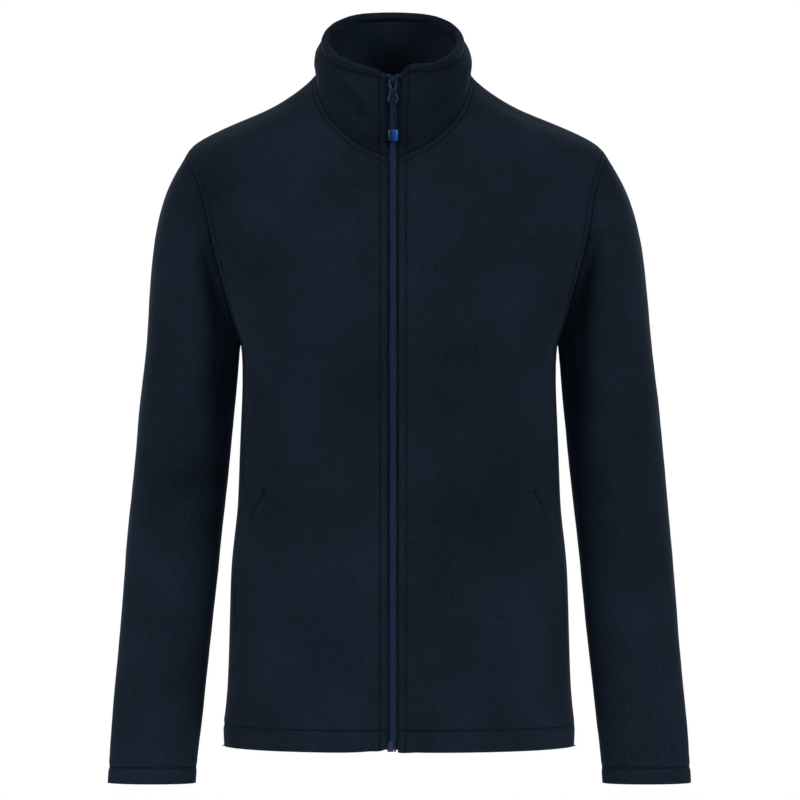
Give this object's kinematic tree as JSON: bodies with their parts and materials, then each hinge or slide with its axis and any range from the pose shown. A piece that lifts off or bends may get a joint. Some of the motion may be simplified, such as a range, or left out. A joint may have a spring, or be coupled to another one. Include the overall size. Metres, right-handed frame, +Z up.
{
  "type": "fleece zip jacket",
  "caption": "Long-sleeved microfleece jacket with a stand collar and a full-length front zip with a corded pull, filled out as if worn.",
  "frame": {"origin": "between the shoulders on the zip's line, 3 mm below the point where the collar meets the shoulder seams", "axes": "+Z up along the zip, the front of the jacket faces -Y, the wearer's left is +X"},
  "size_m": [0.612, 0.2558, 0.8047],
  "materials": {
    "fleece": "matte microfleece with a short nap",
    "jersey": "matte knitted jersey",
    "tape": "woven polyester",
    "coil": "satin nylon",
    "zip_metal": "satin lacquer",
    "cord": "braided polyester",
    "moulded_end": "glossy"
  },
  "bodies": {
    "garment": {"front_left": "fleece", "front_right": "fleece", "back": "fleece", "sleeve_left": "fleece", "sleeve_right": "fleece", "collar_outer": "fleece", "collar_inner": "fleece", "pocket_bag_left": "jersey", "pocket_bag_right": "jersey", "zip_tape_left": "tape", "zip_tape_right": "tape", "zip_chain": "coil", "zip_pin": "coil", "zip_slider": "zip_metal", "zip_box": "moulded_end"},
    "pull": {"zip_pull_tab": "zip_metal", "pull_cord": "cord", "pull_end": "moulded_end"}
  },
  "joints": [
    {"name": "pull_swing", "type": "hinge", "parent": "garment", "child": "pull", "pos_m": [0, -0.08608, 0.00203], "axis": [-1, 0, 0], "range_deg": [0, 165]}
  ]
}
